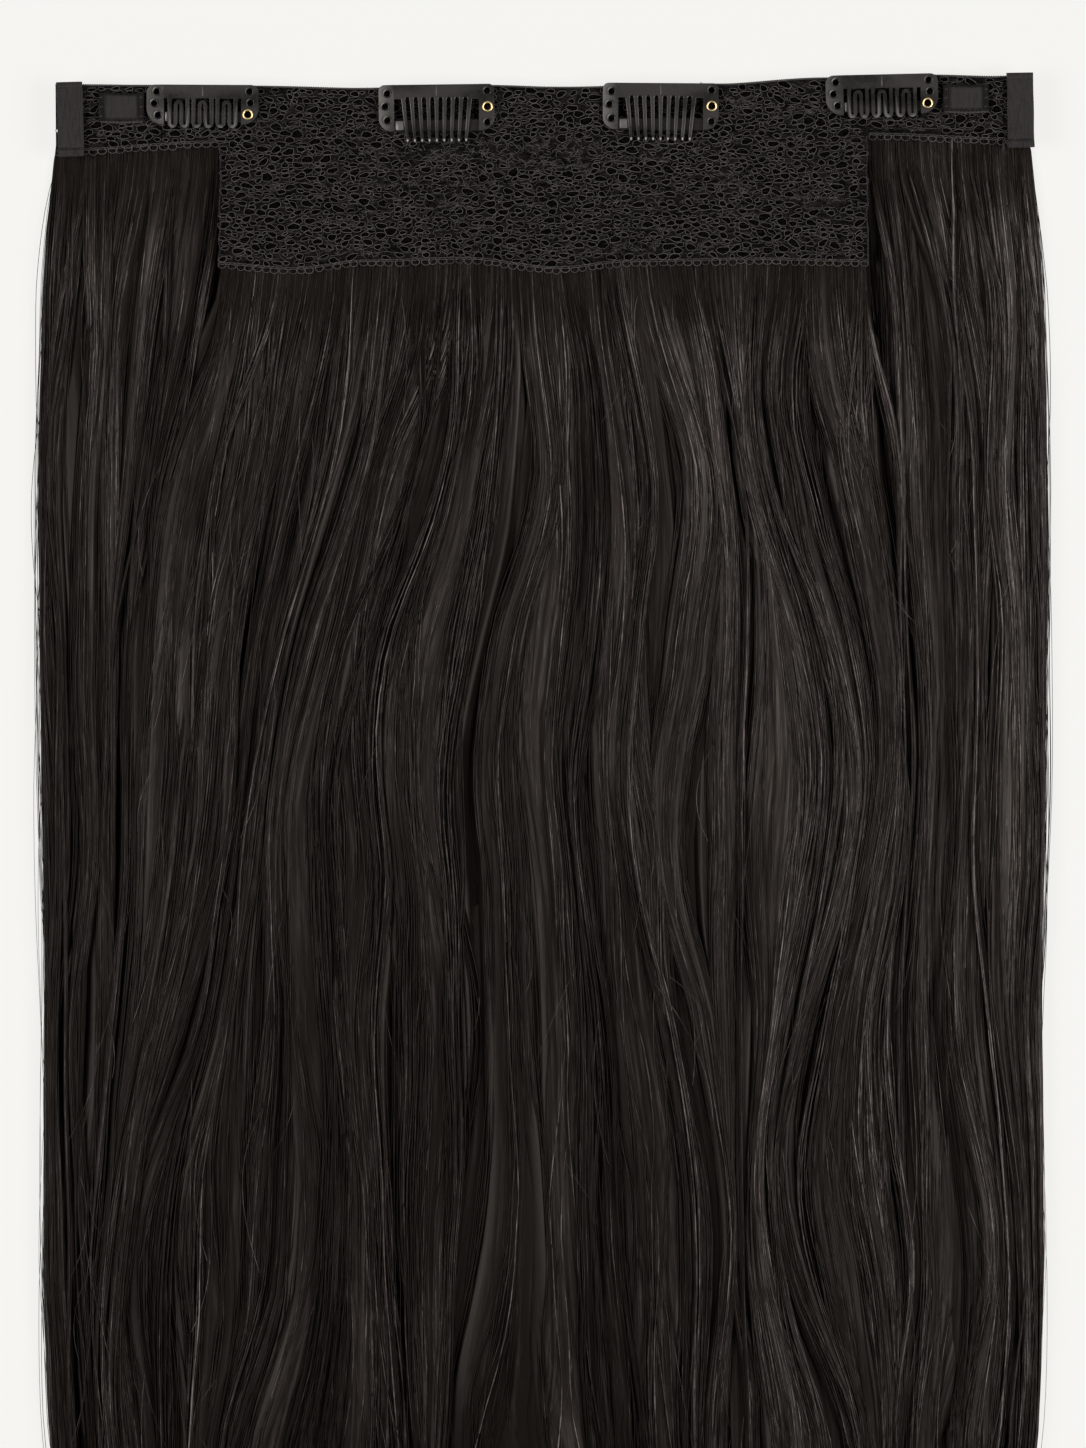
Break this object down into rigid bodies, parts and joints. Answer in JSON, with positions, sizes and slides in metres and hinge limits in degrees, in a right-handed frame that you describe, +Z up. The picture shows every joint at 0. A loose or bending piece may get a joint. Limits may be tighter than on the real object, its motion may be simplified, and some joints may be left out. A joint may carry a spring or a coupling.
{
  "type": "halo hair extension",
  "caption": "Wide weft of long straight dark hair on a T-shaped lace base, with snap clips, ribbon end loops and wire tabs, lying flat with its clip side up.",
  "frame": {"origin": "on the surface the hair lies on, below the middle of the part's box", "axes": "+X across the band, +Y along the hair from the tips to the band, +Z up, towards the clip side"},
  "size_m": [0.2848, 0.4571, 0.0129],
  "materials": {
    "hair": "fine straight hair, soft sheen",
    "lace": "openwork stretch lace",
    "ribbon": "matte woven ribbon",
    "lacquer": "satin lacquer on spring sheet",
    "brass": "polished"
  },
  "bodies": {
    "halo": {"hair": "hair", "lace_base": "lace", "end_loop_left": "ribbon", "end_loop_right": "ribbon", "wire_tab_left": "ribbon", "wire_tab_right": "ribbon", "clip_1_frame": "lacquer", "clip_1_eyelet": "brass", "clip_2_frame": "lacquer", "clip_2_eyelet": "brass", "clip_3_frame": "lacquer", "clip_3_eyelet": "brass", "clip_4_frame": "lacquer", "clip_4_eyelet": "brass"},
    "comb_1": {"clip_1_comb": "lacquer"},
    "comb_2": {"clip_2_comb": "lacquer"},
    "comb_3": {"clip_3_comb": "lacquer"},
    "comb_4": {"clip_4_comb": "lacquer"}
  },
  "joints": [
    {"name": "clip_1_snap", "type": "hinge", "parent": "halo", "child": "comb_1", "pos_m": [-0.0954, 0.2251, 0.0087], "axis": [-1, 0.0052, 0], "range_deg": [0, 35]},
    {"name": "clip_2_snap", "type": "hinge", "parent": "halo", "child": "comb_2", "pos_m": [-0.03, 0.2252, 0.0087], "axis": [-0.9999, -0.0122, 0], "range_deg": [0, 35]},
    {"name": "clip_3_snap", "type": "hinge", "parent": "halo", "child": "comb_3", "pos_m": [0.0329, 0.2256, 0.0087], "axis": [-1, 0.007, 0], "range_deg": [0, 35]},
    {"name": "clip_4_snap", "type": "hinge", "parent": "halo", "child": "comb_4", "pos_m": [0.0947, 0.228, 0.0087], "axis": [-0.9997, -0.0227, 0], "range_deg": [0, 35]}
  ]
}
